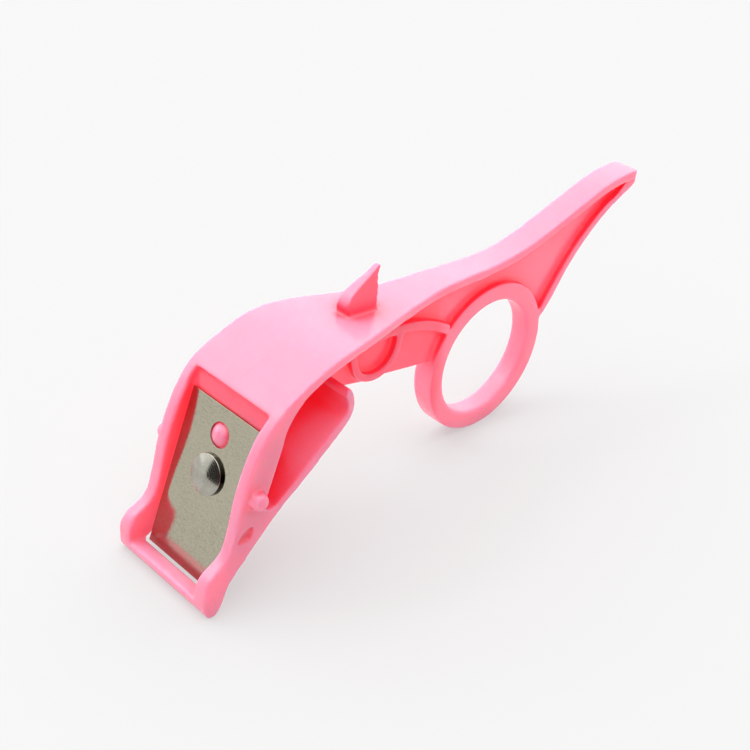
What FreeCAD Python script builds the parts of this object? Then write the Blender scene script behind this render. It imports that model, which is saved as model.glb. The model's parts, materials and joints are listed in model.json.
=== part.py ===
import FreeCAD, Part
import math
import os
import Sketcher
from FreeCAD import Vector

# Corn stripper in the shape of a leaping dolphin: one moulded handle with a
# finger ring, a flat steel blade bedded between two cheeks in the head, and
# the rivet that holds the blade.
#
# Frame: +X from the head to the tail, +Y across the width, +Z up.  The part
# stands on the bar of the head and on the finger ring, both at Z = 0.

DRIVING = [
    ("blade_width", 19.2, "across the cheeks"),
    ("blade_length", 32.0, "from the top edge to the cutting edge"),
    ("blade_sheet", 0.6, "sheet thickness"),
    ("blade_bevel", 1.6, "length of the ground bevel"),
    ("blade_angle", 70.3, "degrees from the floor"),
    ("edge_place", -59.31, "X of the cutting edge"),
    ("edge_height", 1.6, "Z of the cutting edge"),
    ("side_gap", 0.4, "between the blade and each cheek"),
    ("cheek_wall", 2.35, "thickness of each cheek"),
    ("foot_flare", 0.8, "each cheek's foot beyond the cheek"),
    ("seat_wall", 2.6, "plate behind the blade"),
    ("top_gap", 0.25, "between the blade's top edge and its step"),
    ("brow_rise", 4.0, "sloping band above the blade"),
    ("throat_gap", 1.1, "between the cutting edge and the bar"),
    ("bar_depth", 3.35, "bar from front to back"),
    ("bar_back", 2.5, "height of the bar at the throat"),
    ("bar_front", 3.2, "height of the bar at its crest"),
    ("peg_radius", 2.15, "locating peg moulded on the seat"),
    ("peg_hole", 2.4, "radius of the hole in the blade for the peg"),
    ("peg_down", 5.1, "peg centre below the blade's top edge"),
    ("peg_proud", 1.0, "peg above the blade's face"),
    ("rivet_down", 12.9, "rivet centre below the blade's top edge"),
    ("rivet_head", 3.9, "radius of the rivet's head"),
    ("rivet_rim", 0.85, "height of the rivet's head at its rim"),
    ("rivet_dome", 1.15, "height of the rivet's head at its crown"),
    ("rivet_shank", 1.6, "radius of the rivet's shank"),
    ("rivet_reach", 5.0, "shank length below the head"),
    ("shank_gap", 0.02, "round the shank in the handle"),
    ("blade_hole_gap", 0.15, "round the shank in the blade"),
    ("boss_radius", 3.0, "boss behind the seat for the shank"),
    ("boss_floor", 1.0, "plastic beyond the shank's end"),
    ("ring_place", 18.89, "X of the finger ring's centre"),
    ("ring_bore", 13.0, "radius of the finger hole"),
    ("ring_wall", 4.0, "radial thickness of the ring"),
    ("ring_width", 5.0, "ring, rib, flipper and tail flange in Y"),
    ("ring_round", 0.9, "fillet on the finger hole's rims"),
    ("web_sheet", 1.8, "thin web between the ribs"),
    ("ring_cover", 3.9, "web between the ring and the strap"),
    ("strap_sheet", 2.0, "thickness of the strap"),
    ("tail_width", 6.2, "strap in Y from the ring to the tail's tip"),
    ("tail_reach", 44.8, "ring centre to the tail's tip along X"),
    ("tail_rise", 9.9, "tail's tip above the strap over the ring"),
    ("flange_sheet", 1.8, "belly flange and tail flange"),
    ("rib_sheet", 2.1, "arched rib from the flipper to the ring"),
    ("flipper_rim", 1.6, "rim round the flipper's pocket"),
    ("fin_height", 8.4, "dorsal fin above the strap"),
    ("fin_base", 3.7, "fin thickness at its root"),
    ("fin_tip", 1.3, "fin thickness at its top"),
    ("fin_length", 7.3, "fin along the strap at its root"),
    ("eye_radius", 1.8, "round knob for the eye on each cheek"),
    ("eye_proud", 2.6, "eye knob above the cheek"),
    ("mouth_sink", 0.9, "depth of the mouth dent on each cheek"),
]

doc = FreeCAD.newDocument("corn_stripper")
sheet = doc.addObject("Spreadsheet::Sheet", "sizes")
for row, (alias, value, note) in enumerate(DRIVING, start=1):
    sheet.set("A%d" % row, alias)
    sheet.set("B%d" % row, str(value))
    sheet.set("C%d" % row, note)
    sheet.setAlias("B%d" % row, alias)
doc.recompute()


def size(alias):
    return float(sheet.get(alias))


# --- anchors that the outlines hang on -------------------------------------

tilt = math.radians(size("blade_angle"))
up_blade = Vector(math.cos(tilt), 0, math.sin(tilt))
off_blade = Vector(-math.sin(tilt), 0, math.cos(tilt))
edge = Vector(size("edge_place"), 0, size("edge_height"))
brow = edge + up_blade * size("blade_length")
pocket_half = size("blade_width") / 2 + size("side_gap")
head_half = pocket_half + size("cheek_wall")
ring_outer = size("ring_bore") + size("ring_wall")
ring_center = Vector(size("ring_place"), 0, ring_outer)
strap_over_ring = 2 * ring_outer + size("ring_cover") + size("strap_sheet")
bar_rear = edge.x - size("throat_gap")
bar_nose = bar_rear - size("bar_depth")


def at_edge(dx, dz):
    return Vector(edge.x + dx, 0, edge.z + dz)


def at_brow(dx, dz):
    return Vector(brow.x + dx, 0, brow.z + dz)


def at_ring(dx, dz):
    return Vector(ring_center.x + dx, 0, strap_over_ring + dz)


def at_tail(dx, dz):
    return at_ring(size("tail_reach") + dx, size("tail_rise") + dz)


def on_blade(up, out):
    return edge + up_blade * up + off_blade * out


# --- sketch helpers: every outline lies in the XZ or XY plane of its body --

def plane_of(body, role):
    return next(f for f in body.Origin.OriginFeatures if f.Role == role)


def new_sketch(body, name, role="XZ_Plane"):
    sketch = body.newObject("Sketcher::SketchObject", name)
    sketch.AttachmentSupport = [(plane_of(body, role), "")]
    sketch.MapMode = "FlatFace"
    return sketch


def flat(point, role="XZ_Plane"):
    if role == "XZ_Plane":
        return Vector(point.x, point.z, 0)
    if role == "YZ_Plane":
        return Vector(point.y, point.z, 0)
    return Vector(point.x, point.y, 0)


def curve_through(points, role="XZ_Plane"):
    curve = Part.BSplineCurve()
    curve.interpolate([flat(p, role) for p in points])
    return curve


def draw_loop(sketch, pieces, role="XZ_Plane"):
    # A piece of two points is a line and a longer one is a smooth curve.
    for points in pieces:
        if len(points) == 2:
            line = Part.LineSegment(flat(points[0], role), flat(points[1], role))
            sketch.addGeometry(line, False)
        else:
            sketch.addGeometry(curve_through(points, role), False)


def mirrored(point):
    return Vector(point.x, -point.y, point.z)


def shifted(points, distance):
    # Moves a smooth run of points sideways, to the left of its direction.
    curve = Part.BSplineCurve()
    curve.interpolate(points)
    moved = []
    for point in points:
        along = curve.tangent(curve.parameter(point))[0]
        moved.append(point + Vector(-along.z, 0, along.x) * distance)
    return moved


def pad(body, sketch, name, width):
    feature = body.newObject("PartDesign::Pad", name)
    feature.Profile = sketch
    feature.Midplane = True
    feature.setExpression("Length", width)
    return feature


def cut(body, sketch, name, width):
    feature = body.newObject("PartDesign::Pocket", name)
    feature.Profile = sketch
    feature.Midplane = True
    feature.setExpression("Length", width)
    return feature


HEAD_WIDTH = "sizes.blade_width + 2 * (sizes.side_gap + sizes.cheek_wall + sizes.foot_flare)"
POCKET_WIDTH = "sizes.blade_width + 2 * sizes.side_gap"


# --- outlines ---------------------------------------------------------------

def snout_and_cheek():
    # From the front of the bar, over the snout and up the cheek's front edge.
    return [
        Vector(bar_nose + 1.1, 0, 0),
        Vector(bar_nose + 0.05, 0, 2.0),
        at_edge(-4.4, 2.8),
        at_edge(-4.0, 4.9),
        at_edge(-3.0, 6.4),
        at_edge(-1.2, 7.5),
        at_edge(0.4, 8.5),
        at_edge(1.5, 9.8),
        at_edge(2.1, 11.4),
        at_edge(3.0, 14.6),
        at_edge(3.9, 18.6),
        at_brow(-4.5, -4.6),
        at_brow(-1.5, 0.9),
        at_brow(1.2, 3.9),
    ]


def strap_top():
    reach = size("tail_reach")
    rise = size("tail_rise")
    return [
        at_brow(4.2, 5.9),
        at_brow(8.4, 7.7),
        at_brow(13.0, 9.3),
        at_brow(18.3, 9.95),
        at_brow(26.3, 9.6),
        at_ring(-30.0, 0.6),
        at_ring(-18.0, 0.7),
        at_ring(-8.0, 0.2),
        at_ring(0.0, 0.0),
        at_ring(reach * 0.163, rise * 0.08),
        at_ring(reach * 0.306, rise * 0.23),
        at_ring(reach * 0.449, rise * 0.42),
        at_ring(reach * 0.592, rise * 0.62),
        at_ring(reach * 0.76, rise * 0.82),
        at_tail(-5.0, -1.2),
        at_tail(-2.1, -1.2),
    ]


def belly_outer():
    # From the flange's free end forward and down to the bar.
    return [
        at_edge(30.5, 31.6),
        at_edge(31.6, 28.6),
        at_edge(31.1, 26.0),
        at_edge(28.9, 24.3),
        at_edge(23.9, 21.4),
        at_edge(18.8, 17.8),
        at_edge(12.9, 14.0),
        at_edge(7.1, 8.7),
        at_edge(4.4, 6.3),
        at_edge(1.4, 3.7),
        at_edge(0.0, 1.2),
        at_edge(-0.8, -0.3),
        at_edge(-1.9, -size("edge_height")),
    ]


def side_outline():
    front = snout_and_cheek() + strap_top()
    under = shifted(strap_top()[1:], -size("strap_sheet"))
    under.reverse()
    wall_back = -(size("blade_sheet") + size("seat_wall"))
    wall_top = on_blade(size("blade_length") - 1.0, wall_back)
    wall_low = on_blade(19.2, wall_back)
    belly = belly_outer()
    inner = shifted(belly[:7], -size("flange_sheet"))
    inner.reverse()
    return [
        front,
        [front[-1], at_tail(0, -2.4), under[0]],
        under,
        [under[-1], at_brow(5.4, 3.1), wall_top],
        [wall_top, wall_low],
        [wall_low, wall_low + Vector(0.6, 0, -1.3), inner[0]],
        inner,
        [inner[-1], (inner[-1] + belly[0]) * 0.5 + Vector(-0.2, 0, 0.8), belly[0]],
        belly,
        [belly[-1], front[0]],
    ]


def plan_outline():
    # Half widths from the snout to the tail; the other side is its mirror.
    tail_half = size("tail_width") / 2
    taper = [
        (brow.x + 12.0, head_half * 0.96),
        (brow.x + 18.5, head_half * 0.895),
        (brow.x + 26.5, tail_half + 6.0),
        (ring_center.x - 32.4, tail_half + 3.5),
        (ring_center.x - 24.0, tail_half + 1.75),
        (ring_center.x - 16.0, tail_half + 0.8),
        (ring_center.x - 7.0, tail_half + 0.3),
        (ring_center.x + 3.0, tail_half),
    ]
    corner = 1.2
    nose = bar_nose - 0.1
    snout_half = head_half + size("foot_flare")
    tip = ring_center.x + size("tail_reach") + 0.15
    snout = [Vector(nose, snout_half - corner, 0), Vector(nose + 0.3, snout_half - 0.35, 0),
             Vector(nose + corner, snout_half, 0)]
    flank = [Vector(x, y, 0) for x, y in taper]
    tail_corner = Vector(tip - tail_half, tail_half, 0)
    tail_round = Vector(tip - tail_half * 0.25, tail_half * 0.7, 0)
    half = [snout, [snout[-1], flank[0]], flank, [flank[-1], tail_corner]]
    other = [[mirrored(point) for point in reversed(points)] for points in reversed(half)]
    tail_end = [tail_corner, tail_round, Vector(tip, 0, 0), mirrored(tail_round), mirrored(tail_corner)]
    return half + [tail_end] + other + [[mirrored(snout[0]), snout[0]]]


def front_outline():
    # Half widths of the head from its foot to above the brow; the other side is its mirror.
    flare = size("foot_flare")
    reach = brow.z + 30.0
    below = -2.0
    shares = [(3.5, 1.0), (6.0, 0.65), (8.3, 0.28), (10.5, 0.07), (13.0, 0.0)]
    flank = [Vector(0, head_half + flare * share, z) for z, share in shares]
    foot = Vector(0, head_half + flare, below)
    top = Vector(0, head_half, reach)
    half = [[foot, flank[0]], flank, [flank[-1], top]]
    other = [[mirrored(point) for point in reversed(points)] for points in reversed(half)]
    return half + [[top, mirrored(top)]] + other + [[mirrored(foot), foot]]


def blade_pocket_outline():
    # The trough between the cheeks, in front of the blade and over the bar.
    back = -size("blade_sheet")
    step = size("blade_length") + size("top_gap")
    seat_foot = on_blade(6.5, back)
    throat_rear = edge.x + 9.5
    below = -2.0
    ahead = bar_nose - 2.0
    band_top = at_brow(1.8, size("brow_rise") - 0.4)
    bar_edge = Vector(bar_rear, 0, size("bar_back"))
    bar_crest = Vector(bar_nose + 0.9, 0, size("bar_front"))
    return [
        [band_top, on_blade(step, 0)],
        [on_blade(step, 0), on_blade(step, back)],
        [on_blade(step, back), seat_foot],
        [seat_foot, Vector(throat_rear, 0, seat_foot.z)],
        [Vector(throat_rear, 0, seat_foot.z), Vector(throat_rear, 0, below)],
        [Vector(throat_rear, 0, below), Vector(bar_rear + 0.3, 0, below)],
        [Vector(bar_rear + 0.3, 0, below), bar_edge],
        [bar_edge, Vector(bar_rear - 1.3, 0, size("bar_front") - 0.12), bar_crest],
        [bar_crest, Vector(ahead, 0, size("bar_front") - 0.3)],
        [Vector(ahead, 0, size("bar_front") - 0.3), Vector(ahead, 0, band_top.z)],
        [Vector(ahead, 0, band_top.z), band_top],
    ]


def web_outline():
    ring_mid = size("ring_bore") + size("ring_wall") * 0.6
    turn = [math.radians(a) for a in (172, 150, 120, 90, 60, 35, 14)]
    round_ring = [ring_center + Vector(math.cos(a), 0, math.sin(a)) * ring_mid for a in turn]
    under = shifted(strap_top(), -size("strap_sheet") * 0.6)
    under.reverse()
    tail = shifted(tail_flange_outer(), size("flange_sheet") * 0.5)
    seat = -(size("blade_sheet") + size("seat_wall") * 0.6)
    return [
        under,
        [under[-1], on_blade(size("blade_length") - 2.0, seat)],
        [on_blade(size("blade_length") - 2.0, seat), on_blade(16.5, seat)],
        [on_blade(16.5, seat), at_edge(13.0, 14.9)],
        [at_edge(13.0, 14.9), at_edge(19.0, 18.9), at_edge(24.0, 22.4), at_edge(30.0, 25.9)],
        [at_edge(30.0, 25.9), Vector(ring_center.x - 34.0, 0, ring_outer * 2 - 9.8)],
        [Vector(ring_center.x - 34.0, 0, ring_outer * 2 - 9.8),
         Vector(ring_center.x - 29.0, 0, ring_outer * 2 - 10.2)],
        [Vector(ring_center.x - 29.0, 0, ring_outer * 2 - 10.2), round_ring[0] + Vector(-1.2, 0, 2.4)],
        [round_ring[0] + Vector(-1.2, 0, 2.4), round_ring[0]],
        round_ring,
        [round_ring[-1], tail[0]],
        tail,
        [tail[-1], under[0]],
    ]


def tail_flange_outer():
    reach = size("tail_reach")
    foot = ring_center + Vector(math.cos(0.2), 0, math.sin(0.2)) * (ring_outer - 0.6)
    return [
        foot,
        ring_center + Vector(ring_outer + 1.1, 0, 5.0),
        at_tail(-reach * 0.488, -20.8),
        at_tail(-reach * 0.409, -16.5),
        at_tail(-reach * 0.301, -12.0),
        at_tail(-reach * 0.183, -8.4),
        at_tail(-4.0, -6.3),
    ]


def tail_flange_outline():
    outer = tail_flange_outer()
    inner = shifted(outer[1:-1], size("flange_sheet"))
    inner.reverse()
    rim = at_tail(-0.8, -1.9)
    in_strap = at_tail(-2.8, -2.1)
    foot = outer[0] + Vector(-1.2, 0, 1.5)
    return [
        outer,
        [outer[-1], at_tail(-1.2, -4.9), at_tail(0.1, -3.3), rim],
        [rim, in_strap],
        [in_strap, at_tail(-4.3, -3.6), at_tail(-5.5, -4.8), inner[0]],
        inner,
        [inner[-1], foot],
        [foot, outer[0]],
    ]


def rib_upper():
    top = ring_center.z + ring_outer
    x = ring_center.x
    return [Vector(x - 40.4, 0, top - 0.1), Vector(x - 34.0, 0, top + 1.3), Vector(x - 27.8, 0, top + 1.2),
            Vector(x - 20.7, 0, top - 0.4), Vector(x - 16.3, 0, top - 2.3), Vector(x - 12.4, 0, top - 4.6)]


def flipper_outer():
    # Rim of the flipper, from the rib down round its tip and back up.
    top = ring_center.z + ring_outer
    x = ring_center.x
    return [Vector(x - 40.4, 0, top - 0.6), Vector(x - 39.6, 0, top - 4.0), Vector(x - 37.9, 0, top - 7.2),
            Vector(x - 35.0, 0, top - 8.8), Vector(x - 31.8, 0, top - 8.9), Vector(x - 28.9, 0, top - 7.4),
            Vector(x - 27.2, 0, top - 5.0), Vector(x - 26.4, 0, top - 1.0)]


def rib_outline():
    upper = rib_upper()
    lower = shifted(upper, -size("rib_sheet"))
    lower.reverse()
    return [upper, [upper[-1], lower[0]], lower, [lower[-1], upper[0]]]


def flipper_outline():
    outer = flipper_outer()
    inner = shifted(outer, size("flipper_rim"))
    inner.reverse()
    return [outer, [outer[-1], inner[0]], inner, [inner[-1], outer[0]]]


def strap_height(x):
    curve = Part.BSplineCurve()
    curve.interpolate(strap_top())
    return curve.intersect(Part.Line(Vector(x, 0, 0), Vector(x, 0, 1)))[0].Z


def fin_sections():
    # Rectangles of the dorsal fin as (height, rear edge, length, width).
    tall = size("fin_height")
    root = size("fin_length")
    thin = size("fin_base") - size("fin_tip")
    shares = [(-0.14, 0.0, 1.02, 0.0), (0.0, 0.0, 1.0, 0.0), (0.22, 0.05, 1.0, 0.2), (0.4, 0.3, 0.92, 0.4),
              (0.6, 0.5, 0.7, 0.62), (0.8, 0.8, 0.36, 0.85), (1.0, 1.4, 0.12, 1.0)]
    return [(tall * up, rear, root * share, size("fin_base") - thin * loss)
            for up, rear, share, loss in shares]


def mouth_outline():
    corner = at_edge(3.6, 10.9)
    cheek = at_edge(6.9, 13.5)
    return [[corner, at_edge(6.1, 11.1), cheek], [cheek, at_edge(4.7, 12.8), corner]]


# --- sketches whose corners are tied to the sheet ----------------------------

def cap_arc(rim, crown):
    # The arc of a dome from its rim to its crown, with its centre on the V axis.
    rise = crown.y - rim.y
    radius = (rim.x ** 2 + rise ** 2) / (2 * rise)
    half_turn = math.asin(rim.x / radius) / 2
    middle = Vector(radius * math.sin(half_turn), crown.y - radius * (1 - math.cos(half_turn)), 0)
    return Part.Arc(rim, middle, crown)


def tied_profile(sketch, corners, domed=False):
    # Each corner is a pair of expressions; the edge before the last one may be a dome.
    places = [Vector(*[float(sheet.evalExpression(text)) for text in corner], 0) for corner in corners]
    count = len(places)
    for index, start in enumerate(places):
        end = places[(index + 1) % count]
        if domed and index == count - 2:
            sketch.addGeometry(cap_arc(start, end), False)
        else:
            sketch.addGeometry(Part.LineSegment(start, end), False)
    for index in range(count):
        sketch.addConstraint(Sketcher.Constraint("Coincident", index, 2, (index + 1) % count, 1))
    if domed:
        sketch.addConstraint(Sketcher.Constraint("PointOnObject", count - 2, 3, -2))
    for index, (corner, place) in enumerate(zip(corners, places)):
        for kind, text, start in (("DistanceX", corner[0], place.x), ("DistanceY", corner[1], place.y)):
            row = sketch.addConstraint(Sketcher.Constraint(kind, -1, 1, index, 1, start))
            sketch.setExpression("Constraints[%d]" % row, text)


def blade_sketch(body, name, down):
    # H runs up the blade and V stands square on its face, down from its top edge.
    origin = on_blade(size("blade_length") - down, 0)
    sketch = new_sketch(body, name)
    turn = FreeCAD.Rotation(Vector(0, 0, 1), size("blade_angle"))
    sketch.AttachmentOffset = FreeCAD.Placement(flat(origin), turn)
    return sketch


def turned(body, sketch, name, kind="PartDesign::Revolution"):
    feature = body.newObject(kind, name)
    feature.Profile = sketch
    feature.ReferenceAxis = (sketch, ["V_Axis"])
    feature.Angle = 360
    return feature


# --- the handle: one moulding --------------------------------------------------

handle = doc.addObject("PartDesign::Body", "handle")
handle.Label = "handle"


def profile_sketch(name, outline):
    sketch = new_sketch(handle, name)
    draw_loop(sketch, outline)
    return sketch


ring = new_sketch(handle, "ring_profile")
for index, (start, text) in enumerate(((ring_outer, "sizes.ring_bore + sizes.ring_wall"),
                                       (size("ring_bore"), "sizes.ring_bore"))):
    ring.addGeometry(Part.Circle(flat(ring_center), Vector(0, 0, 1), start), False)
    radius_row = ring.addConstraint(Sketcher.Constraint("Radius", index, start))
    ring.setExpression("Constraints[%d]" % radius_row, text)
    for kind, place, place_text in (("DistanceX", ring_center.x, "sizes.ring_place"),
                                    ("DistanceY", ring_center.z, "sizes.ring_bore + sizes.ring_wall")):
        place_row = ring.addConstraint(Sketcher.Constraint(kind, -1, 1, index, 3, place))
        ring.setExpression("Constraints[%d]" % place_row, place_text)
ring_pad = pad(handle, ring, "ring_pad", "sizes.ring_width")
doc.recompute()
rims = []
for index, rim in enumerate(ring_pad.Shape.Edges, start=1):
    across = (rim.BoundBox.XLength, rim.BoundBox.ZLength)
    if max(abs(length - 2 * size("ring_bore")) for length in across) < 0.01:
        rims.append("Edge%d" % index)
rim_round = handle.newObject("PartDesign::Fillet", "ring_rims")
rim_round.Base = (ring_pad, rims)
rim_round.setExpression("Radius", "sizes.ring_round")

pad(handle, profile_sketch("side_profile", side_outline()), "side_solid", HEAD_WIDTH)
cut(handle, profile_sketch("blade_trough", blade_pocket_outline()), "trough_cut", POCKET_WIDTH)
for name, outline in (("tail_flange", tail_flange_outline()), ("rib", rib_outline()),
                      ("flipper", flipper_outline())):
    pad(handle, profile_sketch(name + "_profile", outline), name + "_pad", "sizes.ring_width")

margin = 12.0
left = bar_nose - margin
right = ring_center.x + size("tail_reach") + margin
far = head_half + margin
plan_frame = [Vector(left, -far, 0), Vector(right, -far, 0), Vector(right, far, 0), Vector(left, far, 0)]
low = -margin
high = brow.z + 40.0
front_frame = [Vector(0, -far, low), Vector(0, far, low), Vector(0, far, high), Vector(0, -far, high)]
for name, role, outline, frame in (("plan", "XY_Plane", plan_outline(), plan_frame),
                                   ("front", "YZ_Plane", front_outline(), front_frame)):
    trim = new_sketch(handle, name + "_trim", role)
    draw_loop(trim, outline, role)
    draw_loop(trim, [[frame[i - 1], frame[i]] for i in range(4)], role)
    trim_cut = handle.newObject("PartDesign::Pocket", name + "_trim_cut")
    trim_cut.Profile = trim
    trim_cut.Midplane = True
    trim_cut.Type = "ThroughAll"

pad(handle, profile_sketch("web_profile", web_outline()), "web_pad", "sizes.web_sheet")

boss = blade_sketch(handle, "boss_profile", size("rivet_down"))
boss_top = "-(sizes.blade_sheet + sizes.seat_wall / 2)"
boss_end = "-(sizes.rivet_reach + sizes.boss_floor)"
tied_profile(boss, [("0", boss_end), ("sizes.boss_radius", boss_end),
                    ("sizes.boss_radius", boss_top), ("0", boss_top)])
turned(handle, boss, "boss")

bore = blade_sketch(handle, "shank_bore_profile", size("rivet_down"))
bore_radius = "sizes.rivet_shank + sizes.shank_gap"
bore_end = "-(sizes.rivet_reach + sizes.shank_gap)"
tied_profile(bore, [("0", bore_end), (bore_radius, bore_end), (bore_radius, "0"), ("0", "0")])
turned(handle, bore, "shank_bore", "PartDesign::Groove")

peg = blade_sketch(handle, "peg_profile", size("peg_down"))
peg_foot = "-(sizes.blade_sheet + sizes.seat_wall / 2)"
tied_profile(peg, [("0", peg_foot), ("sizes.peg_radius", peg_foot), ("sizes.peg_radius", "0"),
                   ("0", "sizes.peg_proud")], domed=True)
turned(handle, peg, "peg")

fin = []
fin_rear = ring_center.x - 33.6
for index, (up, rear, length, width) in enumerate(fin_sections()):
    foot = Vector(fin_rear + rear, 0, strap_height(fin_rear) + up)
    section = new_sketch(handle, "fin_section%d" % index, "XY_Plane")
    section.AttachmentOffset = FreeCAD.Placement(Vector(0, 0, foot.z), FreeCAD.Rotation())
    ends = [Vector(foot.x, -width / 2, 0), Vector(foot.x, width / 2, 0),
            Vector(foot.x - length, width / 2, 0), Vector(foot.x - length, -width / 2, 0)]
    draw_loop(section, [[ends[i - 1], ends[i]] for i in range(4)], "XY_Plane")
    fin.append(section)
fin_loft = handle.newObject("PartDesign::AdditiveLoft", "fin_loft")
fin_loft.Profile = fin[0]
fin_loft.Sections = fin[1:]

eye_center = at_edge(7.2, 19.65)
for side_name, side in (("near", -1), ("far", 1)):
    face_turn = FreeCAD.Rotation(Vector(1, 0, 0), 90 - 90 * side)
    eye = new_sketch(handle, side_name + "_eye_profile", "XY_Plane")
    eye_foot = Vector(eye_center.x, side * head_half, eye_center.z)
    eye.AttachmentOffset = FreeCAD.Placement(eye_foot, face_turn)
    eye_root = "-sizes.cheek_wall / 2"
    eye_rim = "sizes.eye_proud - sizes.eye_radius"
    tied_profile(eye, [("0", eye_root), ("sizes.eye_radius", eye_root), ("sizes.eye_radius", eye_rim),
                       ("0", "sizes.eye_proud")], domed=True)
    turned(handle, eye, side_name + "_eye")

    mouth = profile_sketch(side_name + "_mouth_outline", mouth_outline())
    depth = head_half - size("mouth_sink")
    mouth.AttachmentOffset = FreeCAD.Placement(Vector(0, 0, -side * depth), FreeCAD.Rotation())
    dent = handle.newObject("PartDesign::Pocket", side_name + "_mouth")
    dent.Profile = mouth
    dent.Reversed = side < 0
    dent.setExpression("Length", "sizes.mouth_sink + sizes.cheek_wall")


# --- the blade: flat steel with a ground edge and two holes ---------------------

blade = doc.addObject("PartDesign::Body", "blade")
blade.Label = "blade"
flat_steel = blade_sketch(blade, "blade_profile", size("blade_length"))
tied_profile(flat_steel, [("0", "0"), ("sizes.blade_bevel", "-sizes.blade_sheet"),
                          ("sizes.blade_length", "-sizes.blade_sheet"), ("sizes.blade_length", "0")])
pad(blade, flat_steel, "blade_pad", "sizes.blade_width")
for name, down, radius in (("peg", "peg_down", "sizes.peg_hole"),
                           ("rivet", "rivet_down", "sizes.rivet_shank + sizes.blade_hole_gap")):
    hole = blade_sketch(blade, name + "_hole_profile", size(down))
    tied_profile(hole, [("0", "-2 * sizes.blade_sheet"), (radius, "-2 * sizes.blade_sheet"),
                        (radius, "sizes.blade_sheet"), ("0", "sizes.blade_sheet")])
    turned(blade, hole, name + "_hole", "PartDesign::Groove")


# --- the rivet: a low head on a plain shank ------------------------------------

rivet = doc.addObject("PartDesign::Body", "rivet")
rivet.Label = "rivet"
rivet_profile = blade_sketch(rivet, "rivet_profile", size("rivet_down"))
tied_profile(rivet_profile, [("0", "-sizes.rivet_reach"), ("sizes.rivet_shank", "-sizes.rivet_reach"),
                             ("sizes.rivet_shank", "0"), ("sizes.rivet_head", "0"),
                             ("sizes.rivet_head", "sizes.rivet_rim"),
                             ("0", "sizes.rivet_dome")], domed=True)
turned(rivet, rivet_profile, "rivet_turned")
doc.recompute()


# --- checks, then the files -------------------------------------------------------

for item in doc.Objects:
    if "Invalid" in item.State or "Error" in item.State:
        raise RuntimeError("%s is in state %s" % (item.Name, item.State))
bodies = (handle, blade, rivet)
for body in bodies:
    if body.Shape.isNull() or not body.Shape.isValid() or len(body.Shape.Solids) != 1:
        raise RuntimeError("%s isn't one valid solid" % body.Label)
os.makedirs("parts", exist_ok=True)
for body in bodies:
    body.Shape.exportStep("parts/%s.step" % body.Label)
    box = body.Shape.BoundBox
    print("%-8s volume %9.2f  X %.3f %.3f  Y %.3f %.3f  Z %.3f %.3f" % (
        body.Label, body.Shape.Volume, box.XMin, box.XMax, box.YMin, box.YMax, box.ZMin, box.ZMax))
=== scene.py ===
import json
import math

import bpy
from mathutils import Matrix, Vector


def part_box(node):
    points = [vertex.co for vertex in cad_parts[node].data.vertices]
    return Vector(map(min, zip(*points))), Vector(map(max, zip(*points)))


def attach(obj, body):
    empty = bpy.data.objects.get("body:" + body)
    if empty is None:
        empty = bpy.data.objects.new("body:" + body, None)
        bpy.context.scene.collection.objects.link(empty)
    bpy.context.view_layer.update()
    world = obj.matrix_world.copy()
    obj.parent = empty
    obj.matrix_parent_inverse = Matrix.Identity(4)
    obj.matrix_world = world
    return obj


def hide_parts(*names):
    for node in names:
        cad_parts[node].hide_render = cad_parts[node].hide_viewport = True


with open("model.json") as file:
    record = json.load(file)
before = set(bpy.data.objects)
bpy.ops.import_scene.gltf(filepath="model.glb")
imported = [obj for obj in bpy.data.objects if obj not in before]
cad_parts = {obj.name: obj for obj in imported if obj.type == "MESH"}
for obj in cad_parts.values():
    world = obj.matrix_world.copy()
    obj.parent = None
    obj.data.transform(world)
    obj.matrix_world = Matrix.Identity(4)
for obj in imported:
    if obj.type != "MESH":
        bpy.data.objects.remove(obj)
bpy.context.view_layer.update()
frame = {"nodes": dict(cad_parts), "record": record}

scene = bpy.context.scene
scene.view_settings.view_transform = "Standard"
scene.view_settings.look = "None"


# small helpers for shader nodes

def addNode(tree, kind, place, **settings):
    node = tree.nodes.new(kind)
    node.location = place
    for name, value in settings.items():
        setattr(node, name, value)
    return node


def setInputs(node, **values):
    for name, value in values.items():
        node.inputs[name.replace("_", " ")].default_value = value


def link(tree, source, target):
    tree.links.new(source, target)


def mathNode(tree, operation, place, first, second=None, clamp=False):
    node = addNode(tree, "ShaderNodeMath", place, operation=operation, use_clamp=clamp)
    for slot, value in enumerate((first, second)):
        if value is None:
            continue
        if isinstance(value, (int, float)):
            node.inputs[slot].default_value = value
        else:
            link(tree, value, node.inputs[slot])
    return node.outputs[0]


def rangeNode(tree, place, value, fromMin, fromMax, toMin, toMax, smooth=True):
    node = addNode(tree, "ShaderNodeMapRange", place, clamp=True)
    node.interpolation_type = "SMOOTHSTEP" if smooth else "LINEAR"
    link(tree, value, node.inputs["Value"])
    setInputs(node, From_Min=fromMin, From_Max=fromMax, To_Min=toMin, To_Max=toMax)
    return node.outputs["Result"]


def mixColour(tree, place, factor, first, second):
    node = addNode(tree, "ShaderNodeMix", place, data_type="RGBA")
    sockets = (node.inputs["Factor"], node.inputs[6], node.inputs[7])  # 6 and 7 are the colours A and B
    for socket, value in zip(sockets, (factor, first, second)):
        if hasattr(value, "node"):
            link(tree, value, socket)
        else:
            socket.default_value = value
    return node.outputs[2]


def newGroup(name, inputs, outputs):
    tree = bpy.data.node_groups.new(name, "ShaderNodeTree")
    for socketName, socketKind, value in inputs:
        socket = tree.interface.new_socket(socketName, in_out="INPUT", socket_type=socketKind)
        if value is not None:
            socket.default_value = value
    for socketName, socketKind in outputs:
        tree.interface.new_socket(socketName, in_out="OUTPUT", socket_type=socketKind)
    start = addNode(tree, "NodeGroupInput", (-1400, 0))
    end = addNode(tree, "NodeGroupOutput", (900, 0))
    return tree, start.outputs, end.inputs


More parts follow.
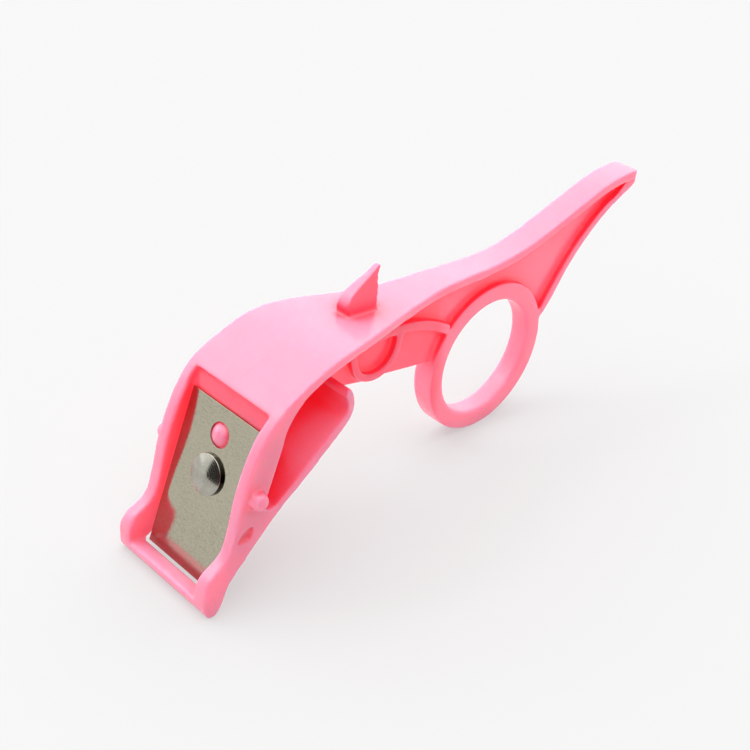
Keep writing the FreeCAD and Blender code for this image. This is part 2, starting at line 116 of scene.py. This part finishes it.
def newMaterial(name):
    material = bpy.data.materials.new(name)
    material.use_nodes = True
    tree = material.node_tree
    tree.nodes.clear()
    output = addNode(tree, "ShaderNodeOutputMaterial", (700, 0))
    shader = addNode(tree, "ShaderNodeBsdfPrincipled", (350, 0))
    link(tree, shader.outputs["BSDF"], output.inputs["Surface"])
    return material, tree, shader


def placeGroup(tree, group, place, vector=None, **values):
    node = addNode(tree, "ShaderNodeGroup", place, node_tree=group)
    setInputs(node, **values)
    if vector is not None:
        link(tree, vector, node.inputs["Vector"])
    return node


def bumpFrom(tree, height, shader):
    # Heights are in metres, so the bump keeps its real depth.
    bump = addNode(tree, "ShaderNodeBump", (-100, -300))
    setInputs(bump, Strength=1.0, Distance=1.0)
    link(tree, height, bump.inputs["Height"])
    link(tree, bump.outputs["Normal"], shader.inputs["Normal"])


def dotWith(tree, place, vector, direction):
    node = addNode(tree, "ShaderNodeVectorMath", place, operation="DOT_PRODUCT")
    link(tree, vector, node.inputs[0])
    node.inputs[1].default_value = direction
    return node.outputs["Value"]


# and for objects

def addObject(name, data):
    item = bpy.data.objects.new(name, data)
    scene.collection.objects.link(item)
    return item


def setMaterial(piece, material):
    piece.data.materials.clear()
    piece.data.materials.append(material)


def applyModifiers(piece):
    graph = bpy.context.evaluated_depsgraph_get()
    mesh = bpy.data.meshes.new_from_object(piece.evaluated_get(graph))
    piece.modifiers.clear()
    piece.data = mesh


def addWeld(piece, distance):
    weld = piece.modifiers.new("weld", "WELD")
    weld.merge_threshold = distance


def smoothStep(low, high, value):
    share = min(1.0, max(0.0, (value - low) / (high - low)))
    return share * share * (3.0 - 2.0 * share)


def bladeLine():
    # The blade's box, and how far forward its face goes for each metre up.
    low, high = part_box("blade")
    return low, high, (high.x - low.x) / (high.z - low.z)


# shared effects

unevennessBuild = {
    "slow": {"Detail": 3.0, "Roughness": 0.5},
    "fine": {"Detail": 2.0, "Roughness": 0.6},
}


def buildUnevenness(build):
    # Slow and fine unevenness in the object's own space, for colour, gloss and bump.
    tree, given, result = newGroup(
        "unevenness",
        [("Vector", "NodeSocketVector", None), ("Slow Scale", "NodeSocketFloat", 60.0),
         ("Fine Scale", "NodeSocketFloat", 900.0), ("Fine Share", "NodeSocketFloat", 0.3)],
        [("Slow", "NodeSocketFloat"), ("Fine", "NodeSocketFloat"), ("Both", "NodeSocketFloat")])
    slow = addNode(tree, "ShaderNodeTexNoise", (-900, 200))
    setInputs(slow, **build["slow"])
    link(tree, given["Vector"], slow.inputs["Vector"])
    link(tree, given["Slow Scale"], slow.inputs["Scale"])
    fine = addNode(tree, "ShaderNodeTexNoise", (-900, -150))
    setInputs(fine, **build["fine"])
    link(tree, given["Vector"], fine.inputs["Vector"])
    link(tree, given["Fine Scale"], fine.inputs["Scale"])
    share = mathNode(tree, "MULTIPLY", (-500, -150), fine.outputs["Fac"], given["Fine Share"])
    both = mathNode(tree, "ADD", (-250, 0), slow.outputs["Fac"], share)
    link(tree, slow.outputs["Fac"], result["Slow"])
    link(tree, fine.outputs["Fac"], result["Fine"])
    link(tree, both, result["Both"])
    return tree


scratchBuild = {
    "lines": {"Scale": 1.0, "Detail": 3.0, "Roughness": 0.65, "Distortion": 0.15},
    "sharpness": 4.0,
}


def buildScratches(build):
    # Long thin scratches that run along the group's own X, bent a little.
    tree, given, result = newGroup(
        "scratches",
        [("Vector", "NodeSocketVector", None), ("Angle", "NodeSocketFloat", 0.0),
         ("Across", "NodeSocketFloat", 3000.0), ("Along", "NodeSocketFloat", 60.0),
         ("Cover", "NodeSocketFloat", 0.5)],
        [("Height", "NodeSocketFloat"), ("Mask", "NodeSocketFloat")])
    turn = addNode(tree, "ShaderNodeVectorRotate", (-1150, 0), rotation_type="Z_AXIS")
    link(tree, given["Vector"], turn.inputs["Vector"])
    link(tree, given["Angle"], turn.inputs["Angle"])
    scale = addNode(tree, "ShaderNodeCombineXYZ", (-1150, -250))
    link(tree, given["Along"], scale.inputs["X"])
    link(tree, given["Across"], scale.inputs["Y"])
    link(tree, given["Across"], scale.inputs["Z"])
    stretched = addNode(tree, "ShaderNodeVectorMath", (-900, 0), operation="MULTIPLY")
    link(tree, turn.outputs["Vector"], stretched.inputs[0])
    link(tree, scale.outputs["Vector"], stretched.inputs[1])
    lines = addNode(tree, "ShaderNodeTexNoise", (-650, 100))
    setInputs(lines, **build["lines"])
    link(tree, stretched.outputs["Vector"], lines.inputs["Vector"])
    low = mathNode(tree, "SUBTRACT", (-400, -100), 1.0, given["Cover"])
    above = mathNode(tree, "SUBTRACT", (-200, 0), lines.outputs["Fac"], low)
    mask = mathNode(tree, "MULTIPLY", (0, 0), above, build["sharpness"], clamp=True)
    link(tree, lines.outputs["Fac"], result["Height"])
    link(tree, mask, result["Mask"])
    return tree


shelterBuild = {"samples": 8}


def buildShelter(build):
    # How sheltered a place is by its own piece, from ambient occlusion, for painted shade: 0 in the open, 1
    # deep in a corner.
    tree, given, result = newGroup(
        "shelter",
        [("Reach", "NodeSocketFloat", 0.01), ("Open", "NodeSocketFloat", 0.95),
         ("Closed", "NodeSocketFloat", 0.4)],
        [("Shelter", "NodeSocketFloat")])
    around = addNode(tree, "ShaderNodeAmbientOcclusion", (-900, 0), only_local=True,
                     samples=build["samples"])
    link(tree, given["Reach"], around.inputs["Distance"])
    span = addNode(tree, "ShaderNodeMapRange", (-500, 0), clamp=True)
    link(tree, around.outputs["AO"], span.inputs["Value"])
    link(tree, given["Open"], span.inputs["From Min"])
    link(tree, given["Closed"], span.inputs["From Max"])
    link(tree, span.outputs["Result"], result["Shelter"])
    return tree


unevenness = buildUnevenness(unevennessBuild)
scratches = buildScratches(scratchBuild)
shelter = buildShelter(shelterBuild)
print("shared effects", [group.name for group in (unevenness, scratches, shelter)])


# materials

plasticLook = {
    "light": (0.89, 0.288, 0.408, 1.0),
    "even": (0.89, 0.258, 0.378, 1.0),
    "deep": (1.0, 0.036, 0.078, 1.0),  # painted shade: the colour deepens to this in hollows and corners, and on the brow wall and the web
    "wave": {"Slow_Scale": 45.0, "Fine_Scale": 1600.0, "Fine_Share": 0.25},
    "corner": {"Reach": 0.0035, "Open": 0.72, "Closed": -0.10},
    "hollow": {"Reach": 0.0085, "Open": 0.92, "Closed": 0.42},
    "paleUpTo": (0.0, 0.030, 0.40, 1.5),  # light from the floor pales the hollows near it
    # painted light: a faint red glow standing in for light scattered through the plastic
    "glow": 0.055,
    "paintedGlowColour": (1.0, 0.05, 0.08, 1.0),
    "scatter": (1.0, 0.07, 0.10),
    "scatterDepth": 0.018,
    "scatterWeight": 1.0,
    "refraction": 1.49,
    "gloss": (0.17, 0.25),
    "glossOver": (0.3, 0.9),  # the span of unevenness that the gloss goes over
    "bump": 0.00004,
    "seamHalf": 0.00022,
    "seamHeight": 0.00004,
    "seamTo": (-0.038, -0.033),  # it fades out behind the brow
}


def makePlastic(name, look):
    material, tree, shader = newMaterial(name)
    place = addNode(tree, "ShaderNodeTexCoord", (-1500, 0)).outputs["Object"]
    wave = placeGroup(tree, unevenness, (-1200, 0), place, **look["wave"])
    colour = mixColour(tree, (-500, 300), wave.outputs["Slow"], look["light"], look["even"])
    # painted shade: occlusion in corners and hollows, and the marked brow wall and web, mix the colour
    # towards the deep red
    corner = placeGroup(tree, shelter, (-1000, 650), **look["corner"])
    hollow = placeGroup(tree, shelter, (-1000, 450), **look["hollow"])
    axes = addNode(tree, "ShaderNodeSeparateXYZ", (-1200, -350))
    link(tree, place, axes.inputs["Vector"])
    rise = rangeNode(tree, (-1000, 850), axes.outputs["Z"], *look["paleUpTo"], smooth=False)
    deep = mathNode(tree, "MAXIMUM", (-850, 550), corner.outputs["Shelter"], hollow.outputs["Shelter"])
    deep = mathNode(tree, "MULTIPLY", (-700, 550), deep, rise, clamp=True)
    # the painted shade marked on the brow wall and the web
    browAndWebShade = addNode(tree, "ShaderNodeAttribute", (-850, 750), attribute_name="browAndWebShade")
    deep = mathNode(tree, "MAXIMUM", (-550, 550), deep, browAndWebShade.outputs["Fac"])
    link(tree, mixColour(tree, (-250, 300), deep, colour, look["deep"]), shader.inputs["Base Color"])
    gloss = rangeNode(tree, (-600, 0), wave.outputs["Both"], *look["glossOver"], *look["gloss"])
    link(tree, gloss, shader.inputs["Roughness"])

    # the mould's parting line down the middle of the back
    side = mathNode(tree, "ABSOLUTE", (-1000, -350), axes.outputs["Y"])
    seam = rangeNode(tree, (-800, -350), side, 0.0, look["seamHalf"], look["seamHeight"], 0.0)
    grain = mathNode(tree, "MULTIPLY", (-600, -200), wave.outputs["Fine"], look["bump"])
    near = rangeNode(tree, (-800, -550), axes.outputs["X"], *look["seamTo"], 1.0, 0.0)
    line = mathNode(tree, "MULTIPLY", (-600, -400), seam, near)
    bumpFrom(tree, mathNode(tree, "ADD", (-400, -300), grain, line), shader)

    # the emission is painted light, a faint red glow through the plastic
    setInputs(shader, Subsurface_Weight=look["scatterWeight"], Subsurface_Radius=look["scatter"],
              Subsurface_Scale=look["scatterDepth"], IOR=look["refraction"],
              Emission_Color=look["paintedGlowColour"], Emission_Strength=look["glow"])
    print("material", name)
    return material


bladeLook = {
    "clean": (0.455, 0.43, 0.328, 1.0),
    "dull": (0.25, 0.233, 0.177, 1.0),
    "wave": {"Slow_Scale": 130.0, "Fine_Scale": 1500.0, "Fine_Share": 0.3},
    "scratchAngles": (0.3, 1.1, 2.2),  # three sets that cross
    "scratch": {"Across": 2800.0, "Along": 110.0, "Cover": 0.50},
    "gloss": (0.03, 0.09),
    "glossOver": (0.3, 1.3),
    "bump": 0.00001,
}


def makeBladeSteel(name, look):
    material, tree, shader = newMaterial(name)
    place = addNode(tree, "ShaderNodeTexCoord", (-1700, 0)).outputs["Object"]
    wave = placeGroup(tree, unevenness, (-1200, 350), place, **look["wave"])
    height = None
    mask = None
    for index, angle in enumerate(look["scratchAngles"]):
        lines = placeGroup(tree, scratches, (-1200, 50 - 220 * index), place, Angle=angle, **look["scratch"])
        if index == 0:
            height = lines.outputs["Height"]
            mask = lines.outputs["Mask"]
            continue
        column = -1100 + 150 * index
        height = mathNode(tree, "ADD", (column, -200), height, lines.outputs["Height"])
        mask = mathNode(tree, "MAXIMUM", (column, 100), mask, lines.outputs["Mask"])
    worn = mathNode(tree, "MULTIPLY", (-600, 200), mask, wave.outputs["Slow"])
    link(tree, mixColour(tree, (-300, 300), worn, look["clean"], look["dull"]), shader.inputs["Base Color"])
    dulled = mathNode(tree, "ADD", (-600, 0), worn, wave.outputs["Slow"])
    gloss = rangeNode(tree, (-400, 0), dulled, *look["glossOver"], *look["gloss"])
    link(tree, gloss, shader.inputs["Roughness"])
    bumpFrom(tree, mathNode(tree, "MULTIPLY", (-400, -250), height, look["bump"]), shader)
    setInputs(shader, Metallic=1.0)
    print("material", name)
    return material


rivetLook = {
    "clean": (0.50, 0.48, 0.42, 1.0),
    "dull": (0.36, 0.35, 0.30, 1.0),
    "wave": {"Slow_Scale": 300.0, "Fine_Scale": 2500.0, "Fine_Share": 0.4},
    "wornOver": (0.4, 0.9),
    "gloss": (0.10, 0.22),
    "glossOver": (-0.6, 0.6),
    "ringStep": 2600.0,  # turned rings in each metre
    "bump": 0.000002,
    # painted shadow: the head's side near the blade, up to these heights in metres
    "paintedShadowColour": (0.035, 0.03, 0.028, 1.0),
    "paintedShadowUpTo": (0.00040, 0.00068),
}


def makeRivetSteel(name, look, centre, outward):
    material, tree, shader = newMaterial(name)
    place = addNode(tree, "ShaderNodeTexCoord", (-1700, 0)).outputs["Object"]
    wave = placeGroup(tree, unevenness, (-1200, 350), place, **look["wave"])

    # turned rings: distance from the middle of the head
    away = addNode(tree, "ShaderNodeVectorMath", (-1400, -100), operation="DISTANCE")
    link(tree, place, away.inputs[0])
    away.inputs[1].default_value = centre
    turns = mathNode(tree, "MULTIPLY", (-1100, -100), away.outputs["Value"], look["ringStep"] * 2 * math.pi)
    rings = mathNode(tree, "SINE", (-900, -100), turns)
    mixed = mathNode(tree, "MULTIPLY", (-700, 0), rings, wave.outputs["Fine"])
    worn = rangeNode(tree, (-500, 150), wave.outputs["Both"], *look["wornOver"], 0.0, 1.0)
    steel = mixColour(tree, (-300, 450), worn, look["clean"], look["dull"])

    # painted shadow: the side of the head is painted near black where it meets the blade, for its shadow and
    # its dark reflection in the blade
    rise = dotWith(tree, (-900, 600), place, outward)
    above = mathNode(tree, "SUBTRACT", (-700, 600), rise, outward.dot(centre))
    outsidePaintedShadow = rangeNode(tree, (-500, 600), above, *look["paintedShadowUpTo"], 0.0, 1.0)
    link(tree, mixColour(tree, (-100, 300), outsidePaintedShadow, look["paintedShadowColour"], steel), shader.inputs["Base Color"])
    gloss = rangeNode(tree, (-400, 0), mixed, *look["glossOver"], *look["gloss"])
    link(tree, gloss, shader.inputs["Roughness"])
    bumpFrom(tree, mathNode(tree, "MULTIPLY", (-400, -250), mixed, look["bump"]), shader)
    setInputs(shader, Metallic=1.0)
    print("material", name)
    return material


# the handle: the CAD moulding with its edges rounded as a mould leaves them

handleBuild = {
    "weld": 0.000002,
    "voxel": 0.00022,
    "smoothing": 30,
    "smoothStrength": 0.5,
    "softHead": (-0.044, -0.036),  # the head is rounded more than the body and tail behind it
    "softRest": 0.6,
    "softFin": 0.25,  # the fin keeps its point
    "finFoot": 0.85,  # how much of its height this holds for
    "softRing": (0.020, 0.024, 1.0),
    "triangles": 190000,
    "wallStart": 0.0004,  # the inner walls lie this far out from the blade's sides
    "wallDepth": 0.0030,
    "footSpread": 0.00060,  # the cheeks' inner walls draw apart at the cutting edge
    "footFrom": 0.0010,
    "footTo": 0.0030,
    "wallDraw": 0.00030,  # and close on the blade's sides above it
    "drawFrom": 0.0010,
    "drawTo": 0.0040,
    "heel": 0.0010,  # the walls' inner side reaches on behind the blade's foot
    "heelSpan": (0.0016, 0.0032, 0.0062, 0.0095),
    "heelIn": (0.0105, 0.0118),
    "heelFrom": (-0.0030, -0.0004),
    "fin": {"tall": 0.0084, "foot": 0.10, "half": 0.0024, "front": -0.0230, "rear": -0.0118,
            "root": -0.0145, "hook": 0.0014, "deep": 0.0035, "narrows": 0.8, "bulge": 0.0009, "widen": 0.12},
    # where the painted shade goes on the brow wall and the web
    "browWall": {"share": 0.72, "from": (-0.0010, 0.0), "to": (0.0030, 0.0044),
                 "half": (0.0098, 0.0106), "off": (0.0016, 0.0026)},
    "web": {"share": 0.5, "facing": (0.6, 0.9), "half": (0.0030, 0.0045),
            "from": (-0.040, -0.034), "to": (0.002, 0.006)},
}


def shapeThroat(mesh, build):
    # Draws the cheeks' inner walls to the blade's sides and opens them beside its cutting edge.
    bladeLow, bladeHigh, lean = bladeLine()
    inner = bladeHigh.y + build["wallStart"]
    outer = inner + build["wallDepth"]
    for vertex in mesh.vertices:
        side = abs(vertex.co.y)
        behind = vertex.co.x - bladeLow.x - lean * (vertex.co.z - bladeLow.z)
        if side > outer or behind > build["drawTo"] or vertex.co.z > bladeHigh.z + build["drawTo"]:
            continue
        share = 1.0 - smoothStep(build["drawFrom"], build["drawTo"], behind)
        share *= 1.0 - smoothStep(0.0, build["drawTo"], vertex.co.z - bladeHigh.z)
        above = smoothStep(build["footFrom"], build["footTo"], vertex.co.z)
        spread = share * (build["footSpread"] * (1.0 - above) - build["wallDraw"] * above)
        wider = side * (inner + spread) / inner
        if side > inner:
            wider = outer - (outer - side) * (outer - inner - spread) / (outer - inner)
        rising = smoothStep(*build["heelSpan"][:2], vertex.co.z)
        falling = 1.0 - smoothStep(*build["heelSpan"][2:], vertex.co.z)
        within = 1.0 - smoothStep(*build["heelIn"], side)
        beyond = smoothStep(*build["heelFrom"], behind)
        if side > bladeHigh.y - build["wallStart"]:
            vertex.co.x += build["heel"] * rising * falling * within * beyond
        vertex.co.y = math.copysign(wider, vertex.co.y)


def shapeFin(mesh, fin):
    # Fills the fin's leading edge out to a curve.
    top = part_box("handle")[1].z
    for vertex in mesh.vertices:
        rise = (vertex.co.z - top + fin["tall"]) / fin["tall"]
        share = (rise - fin["foot"]) / (1.0 - fin["foot"])
        if share < 0.0 or abs(vertex.co.y) > fin["half"] or not fin["front"] < vertex.co.x < fin["rear"]:
            continue
        full = math.sin(math.pi * min(1.0, share)) ** 2
        rear = fin["root"] + fin["hook"] * rise * rise
        depth = fin["deep"] * (1.0 - fin["narrows"] * min(1.0, rise))
        forward = smoothStep(0.0, depth, rear - vertex.co.x)
        vertex.co.x -= fin["bulge"] * full * forward
        vertex.co.y *= 1.0 + fin["widen"] * full


def markBrowAndWebShade(mesh, build):
    # Painted shade: how much the colour deepens on the brow wall and the web, for the shade in these
    # recesses.
    bladeLow, bladeHigh, lean = bladeLine()
    brow = build["browWall"]
    web = build["web"]
    browAndWebShade = mesh.attributes.new("browAndWebShade", "FLOAT", "POINT")
    for vertex in mesh.vertices:
        x, y, z = vertex.co
        above = z - bladeHigh.z
        off = abs(x - bladeLow.x - lean * (z - bladeLow.z))
        share = smoothStep(*brow["from"], above) * (1.0 - smoothStep(*brow["to"], above))
        share *= 1.0 - smoothStep(*brow["half"], abs(y))
        share *= 1.0 - smoothStep(*brow["off"], off)
        sheet = smoothStep(*web["facing"], abs(vertex.normal.y))
        sheet *= 1.0 - smoothStep(*web["half"], abs(y))
        sheet *= smoothStep(*web["from"], x) * (1.0 - smoothStep(*web["to"], x))
        browAndWebShade.data[vertex.index].value = max(brow["share"] * share, web["share"] * sheet)


def markSoft(piece, build):
    # How much each place is rounded: head and ring fully, the fin least.
    soft = piece.vertex_groups.new(name="soft")
    mounts = {mount["name"]: mount["pos_m"] for mount in frame["record"]["mounts"]}
    ringX, _, ringZ = mounts["finger_ring"]
    near, far, ringShare = build["softRing"]
    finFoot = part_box("handle")[1].z - build["finFoot"] * build["fin"]["tall"]
    for vertex in piece.data.vertices:
        away = math.hypot(vertex.co.x - ringX, vertex.co.z - ringZ)
        share = 1.0 - smoothStep(*build["softHead"], vertex.co.x) * (1.0 - build["softRest"])
        share = max(share, ringShare * (1.0 - smoothStep(near, far, away)))
        if vertex.co.z > finFoot:
            share = build["softFin"]
        soft.add([vertex.index], share, "REPLACE")


def makeHandle(build, material):
    piece = addObject("moulded_handle", frame["nodes"]["handle"].data.copy())
    addWeld(piece, build["weld"])
    remesh = piece.modifiers.new("remesh", "REMESH")
    remesh.mode = "VOXEL"
    remesh.voxel_size = build["voxel"]
    remesh.use_smooth_shade = True
    applyModifiers(piece)
    markSoft(piece, build)
    smooth = piece.modifiers.new("smooth", "SMOOTH")
    smooth.factor = build["smoothStrength"]
    smooth.iterations = build["smoothing"]
    smooth.vertex_group = "soft"
    applyModifiers(piece)
    shapeThroat(piece.data, build)
    shapeFin(piece.data, build["fin"])
    quads = len(piece.data.polygons)
    thin = piece.modifiers.new("thin", "DECIMATE")
    thin.ratio = min(1.0, build["triangles"] / (2 * quads))
    applyModifiers(piece)
    markBrowAndWebShade(piece.data, build)
    piece.data.polygons.foreach_set("use_smooth", [True] * len(piece.data.polygons))
    setMaterial(piece, material)
    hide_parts("handle")
    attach(piece, "root")
    print("handle", quads, "faces, thinned to", len(piece.data.polygons))


makeHandle(handleBuild, makePlastic("pinkPlastic", plasticLook))


# the blade: the CAD strip with its sharp edges broken

bladeBuild = {
    "weld": 0.000002,
    "edge": 0.00004,
    "edgeSegments": 3,
    "edgesOver": 35.0,
}


def makeBlade(build, material):
    piece = addObject("steel_blade", frame["nodes"]["blade"].data.copy())
    addWeld(piece, build["weld"])
    edges = piece.modifiers.new("edges", "BEVEL")
    edges.width = build["edge"]
    edges.segments = build["edgeSegments"]
    edges.limit_method = "ANGLE"
    edges.angle_limit = math.radians(build["edgesOver"])
    edges.harden_normals = True
    applyModifiers(piece)
    setMaterial(piece, material)
    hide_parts("blade")
    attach(piece, "root")
    print("blade", len(piece.data.polygons), "faces")


makeBlade(bladeBuild, makeBladeSteel("bladeSteel", bladeLook))


# the rivet: a plain shank with a low crowned head

rivetBuild = {
    "lean": 70.3,  # degrees up from the floor, as the blade
    "up": 0.0191,  # from the blade's cutting edge
    "radius": 0.0039,
    "rim": 0.00068,
    "round": 0.00012,
    "roundSteps": 5,
    "crown": 0.00060,
    "crownSteps": 14,
    "shank": 0.0016,
    "reach": 0.0050,
    "sides": 120,
    "creasesOver": 40.0,
}


def rivetProfile(build):
    # Pairs of distance from the axis and height above the blade, from the shank's end to the crown.
    radius = build["radius"]
    profile = [(build["shank"], -build["reach"]), (build["shank"], 0.0), (radius, 0.0)]
    flat = radius - build["round"]
    for step in range(build["roundSteps"] + 1):
        angle = math.radians(90.0 * step / build["roundSteps"])
        profile.append((flat + build["round"] * math.cos(angle),
                        build["rim"] - build["round"] * (1.0 - math.sin(angle))))
    for step in range(1, build["crownSteps"]):
        away = flat * (1.0 - step / build["crownSteps"])
        profile.append((away, build["rim"] + build["crown"] * (1.0 - (away / flat) ** 2)))
    return profile


def turnedMesh(name, profile, top, centre, upward, outward, sides):
    # A profile turned about the outward axis, closed with a flat end and a pointed top.
    side = outward.cross(upward)
    points = []
    for away, height in profile:
        for turn in range(sides):
            angle = 2 * math.pi * turn / sides
            spoke = upward * math.cos(angle) + side * math.sin(angle)
            points.append(centre + outward * height + spoke * away)
    faces = [tuple(reversed(range(sides)))]
    for ring in range(len(profile) - 1):
        for turn in range(sides):
            onward = (turn + 1) % sides
            faces.append((ring * sides + turn, ring * sides + onward,
                          (ring + 1) * sides + onward, (ring + 1) * sides + turn))
    points.append(centre + outward * top)
    last = (len(profile) - 1) * sides
    for turn in range(sides):
        faces.append((last + turn, last + (turn + 1) % sides, len(points) - 1))
    mesh = bpy.data.meshes.new(name)
    mesh.from_pydata(points, [], faces)
    mesh.polygons.foreach_set("use_smooth", [True] * len(mesh.polygons))
    return mesh


def makeRivet(build, look):
    lean = math.radians(build["lean"])
    upward = Vector((math.cos(lean), 0.0, math.sin(lean)))
    outward = Vector((-math.sin(lean), 0.0, math.cos(lean)))
    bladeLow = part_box("blade")[0]
    centre = Vector((bladeLow.x, 0.0, bladeLow.z)) + upward * build["up"]
    top = build["rim"] + build["crown"]
    mesh = turnedMesh("blade_rivet", rivetProfile(build), top, centre, upward, outward, build["sides"])
    mesh.set_sharp_from_angle(angle=math.radians(build["creasesOver"]))
    piece = addObject("blade_rivet", mesh)
    setMaterial(piece, makeRivetSteel("rivetSteel", look, centre, outward))
    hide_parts("rivet")
    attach(piece, "root")
    print("rivet", len(mesh.polygons), "faces")


makeRivet(rivetBuild, rivetLook)


# floor, light and camera

white = (1.0, 1.0, 1.0, 1.0)


def makeStageFinish(name, look):
    # A nearly even matt finish for what the object stands on or beside.
    material, tree, shader = newMaterial(name)
    place = addNode(tree, "ShaderNodeTexCoord", (-900, 0)).outputs["Object"]
    wave = placeGroup(tree, unevenness, (-600, 0), place, **look["wave"])
    colour = mixColour(tree, (-200, 200), wave.outputs["Slow"], *look["colours"])
    link(tree, colour, shader.inputs["Base Color"])
    gloss = rangeNode(tree, (-200, -100), wave.outputs["Both"], *look["glossOver"], *look["gloss"])
    link(tree, gloss, shader.inputs["Roughness"])
    return material, shader


floorLook = {
    "size": 6.0,
    "colours": ((0.28, 0.28, 0.28, 1.0), (0.2828, 0.2828, 0.2828, 1.0)),
    "wave": {"Slow_Scale": 3.0, "Fine_Scale": 200.0, "Fine_Share": 0.1},
    "gloss": (0.5, 0.6),
    "glossOver": (0.3, 0.8),
    "glow": 0.43,
    "shine": 0.0,  # nothing mirrors in it
}


def makeFloor(look):
    half = look["size"] / 2
    corners = [(-half, -half, 0), (half, -half, 0), (half, half, 0), (-half, half, 0)]
    mesh = bpy.data.meshes.new("floor")
    mesh.from_pydata(corners, [], [(0, 1, 2, 3)])
    floor = addObject("floor", mesh)
    material, shader = makeStageFinish("paleFloor", look)
    setInputs(shader, Emission_Color=white, Emission_Strength=look["glow"], Specular_IOR_Level=look["shine"])
    setMaterial(floor, material)


cardLook = {
    "x": -0.19,
    "y": (-0.30, 0.085),
    "z": (0.0, 0.13),
    "colours": ((0.012, 0.011, 0.010, 1.0), (0.02, 0.018, 0.016, 1.0)),
    "wave": {"Slow_Scale": 20.0, "Fine_Scale": 600.0, "Fine_Share": 0.2},
    "gloss": (0.8, 0.95),
    "glossOver": (0.3, 0.8),
}


def makeCard(look):
    # A dark card in front of the head that shows only as a dark half in the rivet.
    corners = [(look["x"], y, z) for z in look["z"] for y in look["y"]]
    mesh = bpy.data.meshes.new("flag")
    mesh.from_pydata(corners, [], [(0, 1, 3, 2)])
    card = addObject("flag", mesh)
    material, _ = makeStageFinish("darkCard", look)
    setMaterial(card, material)
    card.visible_camera = False
    card.visible_diffuse = False
    card.visible_shadow = False


worldLook = {
    "lightFrom": (0.0, 0.60, 0.88),
    "spread": (-0.35, 0.8),
    "dimSide": 0.20,
    "litSide": 2.24,
    "shadeFrom": (-1.0, -0.15, 0.15),
    "shadeSpread": (0.30, 0.85),
    "shadeLeaves": 0.55,
}


def makeWorld(look):
    # One big soft light: the studio is bright on the light's side and dim on the other.
    world = bpy.data.worlds.new("studio")
    world.use_nodes = True
    tree = world.node_tree
    direction = addNode(tree, "ShaderNodeTexCoord", (-900, 0)).outputs["Generated"]
    facing = []
    for source in ("lightFrom", "shadeFrom"):
        facing.append(dotWith(tree, (-650, -200 * len(facing)), direction, Vector(look[source]).normalized()))
    lit = rangeNode(tree, (-400, 0), facing[0], *look["spread"], look["dimSide"], look["litSide"])
    shade = rangeNode(tree, (-400, -250), facing[1], *look["shadeSpread"], 1.0, look["shadeLeaves"])
    strength = mathNode(tree, "MULTIPLY", (-200, 0), lit, shade)
    background = tree.nodes["Background"]
    background.inputs["Color"].default_value = white
    link(tree, strength, background.inputs["Strength"])
    scene.world = world


lampSetup = {  # angles in degrees: how wide each lamp looks
    "key": {"from": (-0.45, 0.40, 1.0), "angle": 75.0, "strength": 0.5},
    "window": {"from": (-0.41, 0.51, 0.76), "angle": 9.0, "strength": 0.2},
}


def makeLamps(setup):
    for name, lamp in setup.items():
        data = bpy.data.lights.new(name, "SUN")
        data.angle = math.radians(lamp["angle"])
        data.energy = lamp["strength"]
        item = addObject(name, data)
        item.location = lamp["from"]
        towards = -Vector(lamp["from"])
        item.rotation_euler = towards.to_track_quat("-Z", "Y").to_euler()


cameraSetup = {
    "at": (-0.16488, -0.14598, 0.16304),
    "right": (0.7199, -0.6910, 0.0657),
    "up": (0.3420, 0.4355, 0.8327),
    "lens": 62.4,
    "sensor": 36.0,
    "clipStart": 0.01,
}


def makeCamera(setup):
    right = Vector(setup["right"]).normalized()
    up = Vector(setup["up"])
    up = (up - right * up.dot(right)).normalized()
    back = right.cross(up)
    data = bpy.data.cameras.new("camera")
    data.lens = setup["lens"]
    data.sensor_width = setup["sensor"]
    data.clip_start = setup["clipStart"]
    item = addObject("camera", data)
    turn = Matrix((right, up, back)).transposed().to_4x4()
    item.matrix_world = Matrix.Translation(setup["at"]) @ turn
    scene.camera = item


makeFloor(floorLook)
makeCard(cardLook)
makeWorld(worldLook)
makeLamps(lampSetup)
makeCamera(cameraSetup)
print("floor, card, light and camera in place")
